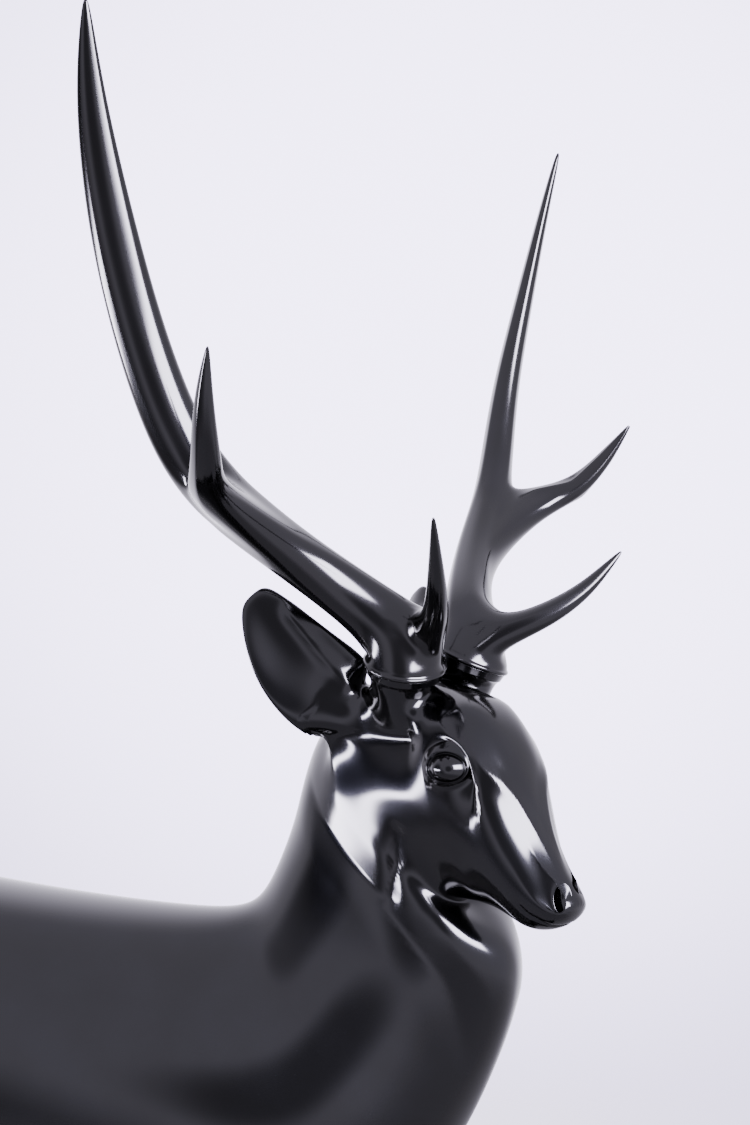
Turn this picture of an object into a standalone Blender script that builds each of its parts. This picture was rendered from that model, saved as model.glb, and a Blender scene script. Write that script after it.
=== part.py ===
"""A life-size bronze stag on a low base: the figure, its two antlers and the base.

Frame: X forward, Y to the stag's left, Z up, origin at the centre of the base's underside.
The figure's tables give its pose and proportions as shares of the stag's own height.
"""
import math
from collections import namedtuple

import bmesh
import bpy
from mathutils import Matrix, Vector

# Driving dimensions, in metres
STAG_HEIGHT = 1.90
BASE_THICKNESS = 0.05
BASE_MARGIN_ENDS = 0.13
BASE_MARGIN_SIDES = 0.10
BASE_CORNER_RADIUS = 0.07
BASE_EDGE_RADIUS = 0.008
BASE_FOOT_INSET = 0.015
BASE_FOOT_HEIGHT = 0.010
BASE_CORNER_STEPS = 4
BASE_EDGE_STEPS = 2
SEAT_GAP = 0.0003
HEAD_TURN = math.radians(-31)

PATINA_COLOUR = (0.012, 0.013, 0.018, 1.0)
PATINA_ROUGHNESS = 0.2

# The figure's tables take the stag as 190 units tall, from the soles to the antler tips
TABLE_HEIGHT = 190.0
UNIT = STAG_HEIGHT / TABLE_HEIGHT

# The point halfway between the antler seats, which the head and antler tables start from
BROW_X = 50.0
BROW_Z = 123.4
NECK_AXIS_X = BROW_X - 10.0

# Catmull-Clark smoothing pulls a ring of this many points in by this much
TRUNK_POINTS = 16
LIMB_SWELL = 1 / (2 / 3 + math.cos(math.pi / 4) / 3)
TRUNK_SWELL = 1 / (2 / 3 + math.cos(2 * math.pi / TRUNK_POINTS) / 3)

Station = namedtuple("Station", "top_x top_z low_x low_z half_width widest upper lower")

TRUNK = [
    Station(-47.0, 89.0, -46.0, 79.0, 5.0, 0.50, 1.0, 1.0),
    Station(-43.0, 94.0, -42.5, 70.5, 12.0, 0.50, 1.0, 1.0),
    Station(-34.5, 96.6, -33.0, 63.0, 15.2, 0.50, 0.9, 1.0),
    Station(-21.0, 96.0, -20.5, 58.0, 15.2, 0.50, 0.9, 1.0),
    Station(-1.0, 93.9, 0.5, 53.2, 15.8, 0.52, 0.95, 1.0),
    Station(17.0, 93.1, 22.5, 51.6, 16.2, 0.52, 1.1, 1.0),
    Station(23.2, 93.7, 35.5, 53.4, 15.4, 0.54, 1.2, 1.0),
    Station(26.0, 95.4, 44.5, 59.5, 14.0, 0.55, 1.3, 1.0),
    Station(27.9, 99.4, 50.6, 68.0, 12.2, 0.55, 1.2, 1.0),
    Station(29.6, 104.4, 54.8, 77.0, 10.7, 0.55, 1.1, 1.0),
    Station(30.4, 108.6, 58.4, 85.6, 9.5, 0.53, 1.0, 1.0),
    Station(31.4, 112.2, 59.6, 91.8, 8.4, 0.50, 1.0, 1.1),
]

# The head's stations start from the brow point instead
HEAD = [
    Station(-16.4, -7.8, 6.0, -27.8, 7.9, 0.46, 1.0, 1.15),
    Station(-11.4, -4.4, 3.4, -26.6, 7.5, 0.46, 0.9, 1.15),
    Station(-7.2, -2.7, 4.6, -26.1, 7.1, 0.46, 0.9, 1.15),
    Station(-3.0, -2.0, 6.2, -26.0, 6.9, 0.45, 0.8, 1.2),
    Station(1.4, -2.1, 8.0, -26.1, 6.7, 0.40, 0.8, 1.25),
    Station(5.6, -2.9, 9.5, -26.3, 6.4, 0.36, 0.7, 1.3),
    Station(9.1, -5.0, 11.0, -26.7, 5.9, 0.36, 0.7, 1.2),
    Station(11.7, -8.4, 12.4, -27.1, 5.0, 0.42, 0.7, 1.1),
    Station(13.3, -12.6, 13.8, -27.4, 4.2, 0.48, 0.7, 1.0),
    Station(15.2, -17.2, 15.4, -27.3, 3.5, 0.50, 0.7, 1.0),
    Station(17.7, -20.9, 17.0, -26.8, 2.9, 0.50, 0.8, 1.0),
    Station(19.3, -22.8, 18.3, -26.1, 2.3, 0.50, 0.9, 1.0),
    Station(19.9, -23.9, 18.9, -25.5, 1.3, 0.50, 1.0, 1.0),
]

FIRST_TURNED = 7
FULLY_TURNED = len(TRUNK) + 1

# Where each limb grows: the station and the point round it that its root is centred on
FORELEG_ROOT = (6, 6)
HINDLEG_ROOT = (2, 6)
EAR_ROOT = (13, 2)
SEAT_ROOT = (15, 2)
EYE_ROOT = (17, 4)
NOSTRIL_ROOT = (22, 3)
TAIL_ROOT = (1, 0)

Ring = namedtuple("Ring", "centre across along")


def turned(point, share):
    """A point of the straight figure after this share of the head's turn."""
    turn = Matrix.Rotation(HEAD_TURN * share, 3, "Z")
    axis = Vector((NECK_AXIS_X, 0, 0))
    return turn @ (Vector(point) - axis) + axis


def smooth_share(value, low, high):
    share = min(max((value - low) / (high - low), 0.0), 1.0)
    return share * share * (3 - 2 * share)


def station_points(station, offset, share):
    """The points round one section, from its top, down the left side and up the right."""
    top = Vector((station.top_x + offset[0], 0, station.top_z + offset[1]))
    low = Vector((station.low_x + offset[0], 0, station.low_z + offset[1]))
    bias = math.log(station.widest) / math.log(0.5)
    points = []
    for step in range(TRUNK_POINTS):
        angle = 2 * math.pi * step / TRUNK_POINTS
        down = ((1 - math.cos(angle)) / 2) ** bias
        fullness = station.upper if math.cos(angle) > 0 else station.lower
        reach = abs(math.sin(angle)) ** fullness * math.copysign(1, math.sin(angle))
        point = top.lerp(low, down)
        point.y = station.half_width * reach * TRUNK_SWELL
        points.append(turned(point, share))
    return points


def add_ring(cage, points):
    ring = bmesh.ops.create_circle(cage, segments=len(points))["verts"]
    for vert, point in zip(ring, points):
        vert.co = point
    return ring


def ring_edges(ring):
    members = set(ring)
    found = {edge for vert in ring for edge in vert.link_edges}
    return [edge for edge in found if set(edge.verts) <= members]


def trunk_cage(cage):
    """Rump, back, neck and head as one row of bridged rings, closed at both ends."""
    stations = [(station, (0, 0)) for station in TRUNK]
    stations += [(station, (BROW_X, BROW_Z)) for station in HEAD]
    rings = []
    for number, (station, offset) in enumerate(stations):
        share = smooth_share(number, FIRST_TURNED, FULLY_TURNED)
        rings.append(add_ring(cage, station_points(station, offset, share)))
    for first, second in zip(rings, rings[1:]):
        edges = ring_edges(first) + ring_edges(second)
        bmesh.ops.bridge_loops(cage, edges=edges)
    for ring in (rings[0], rings[-1]):
        bmesh.ops.contextual_create(cage, geom=ring_edges(ring))
    return rings


def patch_round(rings, root, side=1):
    """The nine points of the two-by-two patch that a limb grows from."""
    number, step = root
    patch = {}
    for along in (-1, 0, 1):
        for round_it in (-1, 0, 1):
            place = (side * (step + round_it)) % TRUNK_POINTS
            patch[along, round_it] = rings[number + along][place]
    return patch


def patch_faces(patch):
    members = set(patch.values())
    found = {face for vert in members for face in vert.link_faces}
    return [face for face in found if set(face.verts) <= members]


def extruded(cage, patch, keep_floor=False):
    """Extrudes a patch and gives the same patch on the new faces."""
    below = patch_faces(patch)
    places = {key: vert.co.copy() for key, vert in patch.items()}
    made = bmesh.ops.extrude_face_region(cage, geom=below)["geom"]
    if keep_floor:
        bmesh.ops.reverse_faces(cage, faces=below)
    else:
        bmesh.ops.delete(cage, geom=below, context="FACES")
    verts = [item for item in made if isinstance(item, bmesh.types.BMVert)]
    fresh = {}
    for key, place in places.items():
        fresh[key] = min(verts, key=lambda vert: (vert.co - place).length_squared)
    return fresh


def crease(cage, verts):
    """Keeps a flat end flat, with a crisp rim, when the cage is smoothed."""
    layer = cage.edges.layers.float.get("crease_edge")
    members = set(verts)
    for face in {face for vert in members for face in vert.link_faces}:
        if set(face.verts) <= members:
            for edge in face.edges:
                if any(not set(other.verts) <= members for other in edge.link_faces):
                    edge[layer] = 1.0


def place_patch(patch, ring):
    for (along, round_it), vert in patch.items():
        shorten = math.sqrt(0.5) if along and round_it else 1.0
        reach = ring.along * along + ring.across * round_it
        vert.co = ring.centre + reach * shorten * LIMB_SWELL


def grow(cage, patch, rings):
    """Grows a limb from a patch through rings, and gives its last patch."""
    for ring in rings:
        patch = extruded(cage, patch)
        place_patch(patch, ring)
    return patch


def mirror_point(point, side):
    return Vector((point[0], point[1] * side, point[2]))


# A leg's rings: x, y and z of the middle, half its length along X, half its width
FORELEG = [
    (30.5, 10.0, 55.0, 7.4, 4.8),
    (29.0, 9.8, 44.5, 4.7, 3.5),
    (29.8, 9.6, 29.5, 3.2, 2.8),
    (29.6, 9.6, 22.0, 2.2, 2.0),
    (29.2, 9.6, 11.0, 1.9, 1.7),
    (29.4, 9.6, 7.4, 2.5, 2.2),
    (30.6, 9.6, 4.6, 2.1, 2.2),
]

HINDLEG = [
    (-30.5, 10.4, 62.5, 10.0, 5.8),
    (-32.0, 10.3, 50.5, 6.6, 4.3),
    (-38.6, 10.2, 38.0, 3.6, 2.8),
    (-41.8, 10.2, 29.5, 3.4, 2.4),
    (-38.8, 10.2, 12.5, 2.1, 1.8),
    (-38.0, 10.2, 8.0, 2.6, 2.2),
    (-36.8, 10.2, 4.8, 2.1, 2.2),
]

# A toe's rings: forward of the pastern, sideways of it, height, half length, half width
TOE = [
    (1.4, 1.45, 3.0, 2.5, 1.30),
    (2.0, 1.70, 0.0, 3.2, 1.45),
]


def leg_rings(table, side):
    for x, y, z, half_length, half_width in table:
        centre = Vector((x, y * side, z))
        yield Ring(centre, Vector((0, -half_width * side, 0)), Vector((half_length, 0, 0)))


def grow_leg(cage, rings, root, table, side):
    """A leg with its knee or hock and two toes standing on z = 0."""
    patch = patch_round(rings, root, side)
    patch = grow(cage, patch, list(leg_rings(table, side)))
    pastern_x, pastern_y = table[-1][0], table[-1][1] * side
    for toe_side in (-1, 1):
        half = {key: vert for key, vert in patch.items() if key[1] * toe_side >= 0}
        for forward, sideways, height, half_length, half_width in TOE:
            half = extruded(cage, half)
            for (along, round_it), vert in half.items():
                outward = abs(round_it) * 2 - 1
                corner = 0.8 if along and round_it else 1.0
                vert.co = Vector((
                    pastern_x + forward + along * half_length * corner,
                    pastern_y - side * toe_side * (sideways + outward * half_width),
                    height,
                ))
        crease(cage, half.values())


# An ear's rings: share of its length, half width, half thickness, depth of its hollow
EAR = [
    (0.09, 5.6, 1.8, 0.3),
    (0.40, 5.2, 0.8, 1.3),
    (0.74, 3.6, 0.5, 1.0),
    (0.98, 0.9, 0.35, 0.0),
]
EAR_START = (-6.6, -6.4, -5.8)
EAR_TIP = (-17.0, -13.1, 7.8)
EAR_ACROSS_ROOT = (0.34, 0.35, 0.87)
EAR_ACROSS_TIP = (0.62, 0.64, 0.46)
EAR_BOW = 1.3


def head_point(point):
    """A point of the head's own table, placed on the turned head."""
    straight = Vector((point[0] + BROW_X, point[1], point[2] + BROW_Z))
    return turned(straight, 1.0)


def grow_ear(cage, rings, side):
    """A leaf-shaped ear, hollowed on the face that looks forward and outward."""
    start = mirror_point(EAR_START, -side)
    tip = mirror_point(EAR_TIP, -side)
    reach = tip - start
    patch = patch_round(rings, EAR_ROOT, side)
    for share, half_width, half_thickness, hollow in EAR:
        patch = extruded(cage, patch)
        turn = smooth_share(share, 0, 0.6)
        across = mirror_point(Vector(EAR_ACROSS_ROOT).lerp(Vector(EAR_ACROSS_TIP), turn), -side)
        across = (across - across.project(reach)).normalized()
        outward = reach.cross(across).normalized() * side
        centre = start + reach * share - across * EAR_BOW * math.sin(math.pi * share)
        for (along, round_it), vert in patch.items():
            corner = math.sqrt(0.5) if along and round_it else 1.0
            width = -round_it * corner * half_width * LIMB_SWELL
            depth = along * corner * half_thickness * LIMB_SWELL
            cup = hollow * (abs(round_it) * corner - 0.5)
            point = centre + across * width + outward * (depth + cup)
            vert.co = head_point(point)


# The seat's rings: distance from the seat along its axis, and radius
SEAT = [(-2.2, 3.7), (-0.7, 3.2), (0.0, 3.6)]
SEAT_CENTRE = (0.0, -4.9, -0.4)
SEAT_AXIS = (0.32, -0.20, 0.92)


def seat_frame(side):
    """The centre of an antler's seat, its axis, and two directions across it."""
    centre = mirror_point(SEAT_CENTRE, -side)
    axis = mirror_point(SEAT_AXIS, -side).normalized()
    forward = (Vector((1, 0, 0)) - axis * axis.x).normalized()
    return centre, axis, forward, axis.cross(forward)


def grow_seat(cage, rings, side):
    centre, axis, forward, sideways = seat_frame(side)
    patch = patch_round(rings, SEAT_ROOT, side)
    for distance, radius in SEAT:
        patch = extruded(cage, patch)
        for (along, round_it), vert in patch.items():
            corner = math.sqrt(0.5) if along and round_it else 1.0
            reach = forward * along + sideways * round_it * side
            point = centre + axis * distance + reach * corner * radius * LIMB_SWELL
            vert.co = head_point(point)
    crease(cage, patch.values())


# An eye's rings: half length, half height, how far the ring stands out from the cheek
EYE = [(2.9, 2.3, 0.35), (2.1, 1.5, 0.75), (1.9, 1.3, 0.2)]
EYE_CENTRE = (7.2, -6.1, -10.7)
EYE_OUTWARD = (0.36, -0.92, 0.12)
EYE_BALL = 1.5

# A nostril's rings in the same way, sunk into the nose
NOSTRIL = [(1.15, 1.6, 0.0), (0.6, 1.1, -0.35)]
NOSTRIL_CENTRE = (18.9, -1.8, -23.2)
NOSTRIL_OUTWARD = (0.75, -0.62, 0.22)


def set_in(cage, rings, root, side, table, centre, outward, middle):
    """Insets a patch into rings of its own, for an eye or a nostril."""
    centre = mirror_point(centre, -side)
    outward = mirror_point(outward, -side).normalized()
    upward = (Vector((0, 0, 1)) - outward * outward.z).normalized()
    forward = upward.cross(outward) * -side
    patch = patch_round(rings, root, side)
    for half_length, half_height, stand in table:
        patch = extruded(cage, patch)
        for (along, round_it), vert in patch.items():
            corner = math.sqrt(0.5) if along and round_it else 1.0
            reach = forward * along * half_length - upward * round_it * half_height
            point = centre + reach * corner * LIMB_SWELL + outward * stand
            vert.co = head_point(point)
    patch[0, 0].co = head_point(centre + outward * middle)


# The tail's rings, which hang behind the rump
TAIL = [
    Ring(Vector((-47.6, 0, 91.0)), Vector((0, 3.2, 0)), Vector((-1.4, 0, 1.8))),
    Ring(Vector((-49.4, 0, 85.5)), Vector((0, 3.0, 0)), Vector((-1.6, 0, 0.4))),
    Ring(Vector((-49.6, 0, 78.0)), Vector((0, 1.5, 0)), Vector((-0.9, 0, 0.0))),
]


def to_metres(cage):
    lift = BASE_THICKNESS + SEAT_GAP
    for vert in cage.verts:
        vert.co = vert.co * UNIT + Vector((0, 0, lift))


def stag_body(collection, material):
    cage = bmesh.new()
    cage.edges.layers.float.new("crease_edge")
    rings = trunk_cage(cage)
    for side in (1, -1):
        grow_leg(cage, rings, FORELEG_ROOT, FORELEG, side)
        grow_leg(cage, rings, HINDLEG_ROOT, HINDLEG, side)
        grow_ear(cage, rings, side)
        grow_seat(cage, rings, side)
        set_in(cage, rings, EYE_ROOT, side, EYE, EYE_CENTRE, EYE_OUTWARD, EYE_BALL)
        set_in(cage, rings, NOSTRIL_ROOT, side, NOSTRIL, NOSTRIL_CENTRE, NOSTRIL_OUTWARD, -1.0)
    grow(cage, patch_round(rings, TAIL_ROOT), TAIL)
    bmesh.ops.recalc_face_normals(cage, faces=cage.faces)
    to_metres(cage)
    return finished("stag_body", cage, collection, material, levels=1)


# The beam's rings: its middle, half its breadth, half its thickness; y is outward
BEAM = [
    (-0.6, 6.0, 2.7, 3.3, 3.0),
    (-2.9, 8.0, 5.9, 3.0, 2.6),
    (-7.4, 14.0, 11.2, 2.8, 2.35),
    (-10.4, 19.6, 15.9, 3.0, 2.35),
    (-12.2, 23.1, 19.6, 3.1, 2.3),
    (-13.8, 25.9, 24.6, 3.0, 2.1),
    (-15.2, 29.1, 34.0, 2.75, 1.75),
    (-15.2, 32.6, 45.0, 2.5, 1.3),
    (-14.4, 35.8, 57.5, 1.6, 0.75),
    (-12.7, 37.3, 66.6, 0.4, 0.35),
]
BEAM_THIN_WAY = (0.70, 0.71, 0.0)

# A tine's rings: its middle, half its height, half its width; y is outward
BROW_TINE = [
    (4.0, 5.3, 3.0, 1.9, 1.7),
    (8.2, 8.7, 5.4, 1.45, 1.2),
    (10.9, 11.7, 8.3, 1.05, 0.85),
    (12.5, 13.6, 11.1, 0.65, 0.5),
    (13.8, 15.2, 13.6, 0.2, 0.2),
]
MIDDLE_TINE = [
    (-7.6, 26.4, 18.4, 2.3, 1.8),
    (-3.4, 29.4, 20.3, 1.75, 1.3),
    (-0.7, 31.9, 25.0, 1.2, 0.85),
    (1.9, 33.3, 29.6, 0.2, 0.2),
]

# The tines' tips stand at their own heights on each side: right, then left
BROW_TIP_RISE = {-1: 15.1, 1: 12.0}
MIDDLE_TIP_RISE = {-1: 31.0, 1: 28.1}
MIDDLE_ROOT_RISE = 19.2

# The burr's rings, from the seat up: distance along the seat's axis, and radius
BURR = [(0.0, 3.6), (0.7, 3.45)]
ROUND_A_RING = [(1, 0), (1, 1), (0, 1), (-1, 1), (-1, 0), (-1, -1), (0, -1), (1, -1)]


def ring_on(side, centre, tangent, half_breadth, half_thickness):
    thin = mirror_point(BEAM_THIN_WAY, side)
    thin = (thin - thin.project(tangent)).normalized()
    broad = thin.cross(tangent).normalized() * side
    return Ring(centre, thin * half_thickness, broad * half_breadth)


def tangents(points):
    ends = [points[0]] + points + [points[-1]]
    return [(ends[i + 2] - ends[i]).normalized() for i in range(len(points))]


def place_turned(patch, ring):
    place_patch(patch, ring)
    for vert in patch.values():
        vert.co = head_point(vert.co)


def grow_tine(cage, patches, number, start, table, side, rise):
    """A tine that grows from a two-by-two patch on the side of the beam."""
    patch = {}
    for along in (-1, 0, 1):
        for round_it in (-1, 0, 1):
            key = ROUND_A_RING[(start + round_it) % len(ROUND_A_RING)]
            patch[along, round_it] = patches[number + along][key]
    centres = [patch[0, 0].co.copy()]
    centres += [head_point((x, y * side, rise(z))) for x, y, z, _, _ in table]
    ways = tangents(centres)[1:]
    for centre, way, row in zip(centres[1:], ways, table):
        along_way = patch[1, 0].co - patch[-1, 0].co
        along_way = (along_way - along_way.project(way)).normalized()
        across = way.cross(along_way)
        if across.dot(patch[0, 1].co - patch[0, -1].co) < 0:
            across.negate()
        patch = extruded(cage, patch)
        place_patch(patch, Ring(centre, across * row[4], along_way * row[3]))


def antler(name, side, collection, material):
    """One antler: a flat burr, a beam broader than it is thick, and two tines."""
    cage = bmesh.new()
    cage.edges.layers.float.new("crease_edge")
    centre, axis, forward, sideways = seat_frame(side)
    centre = centre + axis * SEAT_GAP / UNIT
    floor = bmesh.ops.create_grid(cage, x_segments=2, y_segments=2, size=1)["verts"]
    patch = {(round(vert.co.x), round(vert.co.y)): vert for vert in floor}
    patches = []
    for distance, radius in BURR:
        if patches:
            patch = extruded(cage, patch, keep_floor=len(patches) == 1)
        place_turned(patch, ring_on(side, centre + axis * distance, axis, radius, radius))
        patches.append(patch)
    crease(cage, patches[0].values())
    middles = [mirror_point(row[:3], side) for row in BEAM]
    for middle, way, row in zip(middles, tangents([centre] + middles)[1:], BEAM):
        patch = extruded(cage, patch)
        place_turned(patch, ring_on(side, middle, way, row[3], row[4]))
        patches.append(patch)
    brow_share = BROW_TIP_RISE[side] / BROW_TINE[-1][2]
    middle_share = MIDDLE_TIP_RISE[side] - MIDDLE_ROOT_RISE
    middle_share /= MIDDLE_TINE[-1][2] - MIDDLE_ROOT_RISE
    grow_tine(cage, patches, 2, 1, BROW_TINE, side, lambda z: z * brow_share)
    grow_tine(cage, patches, 5, 2, MIDDLE_TINE, side,
              lambda z: MIDDLE_ROOT_RISE + (z - MIDDLE_ROOT_RISE) * middle_share)
    bmesh.ops.recalc_face_normals(cage, faces=cage.faces)
    to_metres(cage)
    return finished(name, cage, collection, material, levels=1)


def foot_reach():
    """How far the soles reach from the origin, along X and along Y."""
    forward, sideways, _, half_length, half_width = TOE[-1]
    ends = [abs(leg[-1][0] + forward + way * half_length)
            for leg in (FORELEG, HINDLEG) for way in (-1, 1)]
    sides = [leg[-1][1] + sideways + half_width for leg in (FORELEG, HINDLEG)]
    return max(ends) * UNIT, max(sides) * UNIT


def base(collection, material):
    """A low slab with rounded corners and edges, set back at its foot."""
    reach_x, reach_y = foot_reach()
    half_length = reach_x + BASE_MARGIN_ENDS
    half_width = reach_y + BASE_MARGIN_SIDES
    slab = bmesh.new()
    bmesh.ops.create_cube(slab, size=1)
    bmesh.ops.scale(slab, verts=slab.verts, vec=(2 * half_length, 2 * half_width, BASE_THICKNESS))
    bmesh.ops.translate(slab, verts=slab.verts, vec=(0, 0, BASE_THICKNESS / 2))
    uprights = [edge for edge in slab.edges
                if abs(edge.verts[0].co.z - edge.verts[1].co.z) > BASE_THICKNESS / 2]
    bmesh.ops.bevel(slab, geom=uprights, offset=BASE_CORNER_RADIUS, offset_type="OFFSET",
                    segments=BASE_CORNER_STEPS, profile=0.5, affect="EDGES", material=-1)
    top = [face for face in slab.faces if face.normal.z > 0.9]
    rim = {edge for face in top for edge in face.edges}
    bmesh.ops.bevel(slab, geom=list(rim), offset=BASE_EDGE_RADIUS, offset_type="OFFSET",
                    segments=BASE_EDGE_STEPS, profile=0.5, affect="EDGES", material=-1)
    underside = [face for face in slab.faces if face.normal.z < -0.9]
    bmesh.ops.inset_region(slab, faces=underside, thickness=BASE_FOOT_INSET, use_even_offset=True)
    deeper = bmesh.ops.extrude_face_region(slab, geom=underside)["geom"]
    bmesh.ops.delete(slab, geom=underside, context="FACES")
    foot = [item for item in deeper if isinstance(item, bmesh.types.BMVert)]
    bmesh.ops.translate(slab, verts=foot, vec=(0, 0, -BASE_FOOT_HEIGHT))
    bmesh.ops.translate(slab, verts=slab.verts, vec=(0, 0, BASE_FOOT_HEIGHT))
    bmesh.ops.scale(slab, verts=slab.verts,
                    vec=(1, 1, BASE_THICKNESS / (BASE_THICKNESS + BASE_FOOT_HEIGHT)))
    bmesh.ops.recalc_face_normals(slab, faces=slab.faces)
    return finished("base", slab, collection, material, levels=0)


def finished(name, cage, collection, material, levels):
    mesh = bpy.data.meshes.new(name)
    cage.to_mesh(mesh)
    cage.free()
    mesh.materials.append(material)
    piece = bpy.data.objects.new(name, mesh)
    collection.objects.link(piece)
    if levels:
        smooth = piece.modifiers.new("Smooth form", "SUBSURF")
        smooth.levels = levels
        smooth.render_levels = levels
    mesh.shade_smooth()
    return piece


def bronze(name):
    material = bpy.data.materials.new(name)
    material.use_nodes = True
    shader = material.node_tree.nodes["Principled BSDF"]
    shader.inputs["Base Color"].default_value = PATINA_COLOUR
    shader.inputs["Roughness"].default_value = PATINA_ROUGHNESS
    shader.inputs["Metallic"].default_value = 1.0
    return material


def main():
    for old in list(bpy.data.objects):
        bpy.data.objects.remove(old)
    collection = bpy.data.collections.new("bronze_stag")
    bpy.context.scene.collection.children.link(collection)
    stag_body(collection, bronze("Body bronze"))
    antler("right_antler", -1, collection, bronze("Right antler bronze"))
    antler("left_antler", 1, collection, bronze("Left antler bronze"))
    base(collection, bronze("Base bronze"))


main()
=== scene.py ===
# %% [markdown]
# # A life-size bronze stag
#
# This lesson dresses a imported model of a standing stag. On the real sculpture the figure is one
# hollow casting, each antler is a second casting that sits on a ringed seat, and the whole thing
# stands on a low cast slab. Everything is the same dark bronze, polished until it mirrors the room.
#
# A mirror finish hides nothing, so most of the work is in the form: where a surface turns, how
# sharp a crease is, and how a lid or a nostril rim catches a softbox.

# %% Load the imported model
import math
from collections import namedtuple

import bmesh
import bpy
import numpy
from mathutils import Matrix, Vector
from mathutils.bvhtree import BVHTree


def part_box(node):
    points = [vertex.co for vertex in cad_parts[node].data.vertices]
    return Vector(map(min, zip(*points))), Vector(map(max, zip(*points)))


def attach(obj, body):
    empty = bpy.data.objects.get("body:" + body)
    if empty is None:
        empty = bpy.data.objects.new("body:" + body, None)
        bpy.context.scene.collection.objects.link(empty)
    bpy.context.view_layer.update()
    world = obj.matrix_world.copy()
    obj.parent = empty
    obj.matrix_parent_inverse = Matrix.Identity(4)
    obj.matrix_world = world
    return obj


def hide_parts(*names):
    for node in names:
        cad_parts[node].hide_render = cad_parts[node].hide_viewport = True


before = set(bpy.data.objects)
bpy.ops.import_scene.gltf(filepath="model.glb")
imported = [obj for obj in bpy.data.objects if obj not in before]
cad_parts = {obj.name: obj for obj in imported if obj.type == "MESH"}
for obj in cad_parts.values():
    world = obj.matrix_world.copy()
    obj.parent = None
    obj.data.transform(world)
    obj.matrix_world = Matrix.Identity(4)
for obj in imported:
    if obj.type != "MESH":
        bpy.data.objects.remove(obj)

SCENE = bpy.context.scene
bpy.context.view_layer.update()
print("Nodes:", sorted(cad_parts))

# %% [markdown]
# ## Sizes
#
# The figure was drawn on a table 190 units tall, from its soles to its antler tips, so one number
# turns table units into metres. The base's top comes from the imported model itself.

# %% Sizes that the whole figure uses
TABLE_HEIGHT = 190.0
STAG_HEIGHT = 1.90
UNIT = STAG_HEIGHT / TABLE_HEIGHT
SEAT_GAP = 0.0003
HEAD_TURN = math.radians(-31)
_, BASE_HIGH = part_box("base")
SOLE_HEIGHT = BASE_HIGH.z + SEAT_GAP

# The point halfway between the antler seats, which the head's own tables start from, and the
# upright line that the head turns about
BROW_X = 50.0
BROW_Z = 123.4
NECK_AXIS_X = 40.0
print("One table unit is", round(UNIT * 1000, 2), "mm")

# %% [markdown]
# ## The camera
#
# The picture to match is upright and level with the brow, a little in front of square to the body.
# A lens of about 45 mm on a full-size sensor keeps the head and the antlers in proportion.

# %% Camera
CAMERA_PLACE = Vector((0.818, -1.561, 1.392))
CAMERA_AZIMUTH = math.radians(15)
LENS_MM = 44.45
SENSOR_MM = 36.0


def level_camera(name, place, azimuth, lens):
    """A level camera that looks along +Y, turned to the left by an azimuth."""
    data = bpy.data.cameras.new(name)
    data.lens = lens
    data.sensor_width = SENSOR_MM
    camera = bpy.data.objects.new(name, data)
    camera.location = place
    camera.rotation_euler = (math.radians(90), 0, azimuth)
    SCENE.collection.objects.link(camera)
    return camera


SCENE.camera = level_camera("portrait_camera", CAMERA_PLACE, CAMERA_AZIMUTH, LENS_MM)
print("Camera stands", round(CAMERA_PLACE.z, 2), "m up")

# %% [markdown]
# ## Rings, bridges and patches
#
# A smooth animal is quickest to build from a coarse cage. The trunk is a row of rings joined by
# `bridge_loops`. A leg, an ear or an antler seat grows from a patch of four faces on that trunk:
# the patch is extruded, and its nine points are moved to the limb's next ring. Catmull-Clark
# smoothing then turns the cage into skin. A ring loses a little girth when it is smoothed, so
# each one starts a little larger.

# %% Cage helpers
TRUNK_POINTS = 16
LIMB_SWELL = 1 / (2 / 3 + math.cos(math.pi / 4) / 3)
TRUNK_SWELL = 1 / (2 / 3 + math.cos(2 * math.pi / TRUNK_POINTS) / 3)
CORNER = math.sqrt(0.5)

Station = namedtuple("Station", "top_x top_z low_x low_z half_width widest upper lower")
Ring = namedtuple("Ring", "centre across along")


def smooth_share(value, low, high):
    """0 below low, 1 above high, and a soft S between them."""
    share = min(max((value - low) / (high - low), 0.0), 1.0)
    return share * share * (3 - 2 * share)


def turned(point, share):
    """A point of the straight figure after this share of the head's turn."""
    turn = Matrix.Rotation(HEAD_TURN * share, 3, "Z")
    axis = Vector((NECK_AXIS_X, 0, 0))
    return turn @ (Vector(point) - axis) + axis


def head_point(point):
    """A point of the head's own table, placed on the turned head."""
    straight = Vector((point[0] + BROW_X, point[1], point[2] + BROW_Z))
    return turned(straight, 1.0)


def mirror_point(point, side):
    return Vector((point[0], point[1] * side, point[2]))


def patch_faces(patch):
    members = set(patch.values())
    found = dict.fromkeys(face for vert in patch.values() for face in vert.link_faces)
    return [face for face in found if set(face.verts) <= members]


def extruded(cage, patch, keep_floor=False):
    """Extrudes a patch of faces and gives the same patch on the new faces."""
    below = patch_faces(patch)
    places = {key: vert.co.copy() for key, vert in patch.items()}
    made = bmesh.ops.extrude_face_region(cage, geom=below)["geom"]
    if keep_floor:
        bmesh.ops.reverse_faces(cage, faces=below)
    else:
        bmesh.ops.delete(cage, geom=below, context="FACES")
    verts = [item for item in made if isinstance(item, bmesh.types.BMVert)]
    fresh = {}
    for key, place in places.items():
        fresh[key] = min(verts, key=lambda vert: (vert.co - place).length_squared)
    return fresh


def crease(cage, verts):
    """Keeps the rim of a flat end crisp when the cage is smoothed."""
    layer = cage.edges.layers.float.get("crease_edge")
    members = set(verts)
    for face in {face for vert in members for face in vert.link_faces}:
        if set(face.verts) <= members:
            for edge in face.edges:
                if any(not set(other.verts) <= members for other in edge.link_faces):
                    edge[layer] = 1.0


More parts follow.
